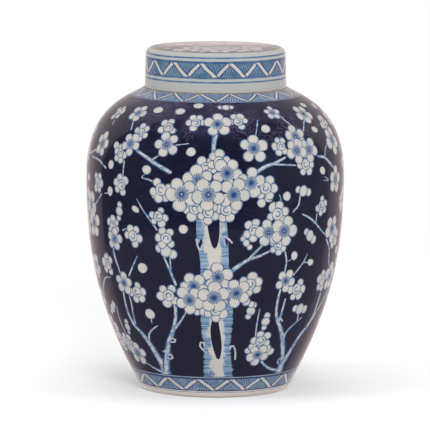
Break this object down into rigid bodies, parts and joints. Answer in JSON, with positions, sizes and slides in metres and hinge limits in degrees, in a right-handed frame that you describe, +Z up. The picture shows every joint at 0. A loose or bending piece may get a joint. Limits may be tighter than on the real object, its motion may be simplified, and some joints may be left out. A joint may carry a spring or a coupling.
{
  "type": "ginger jar",
  "caption": "Covered porcelain ginger jar: a hollow high-shouldered body tapering to a foot, with a cap-shaped lid that lifts off a plain upright neck.",
  "frame": {"origin": "on the jar's axis, on the surface that the foot stands on", "axes": "+Z up along the jar's axis, from the foot to the lid; -Y towards the front, where the painted trunk rises"},
  "size_m": [0.248, 0.248, 0.33],
  "materials": {
    "body_glaze": "gloss",
    "lid_glaze": "gloss"
  },
  "bodies": {
    "jar": {"jar_body": "body_glaze"},
    "lid": {"lid": "lid_glaze"}
  },
  "joints": [
    {"name": "lid_lift", "type": "slide", "parent": "jar", "child": "lid", "axis": [0, 0, 1], "range_m": [0, 0.035]}
  ]
}
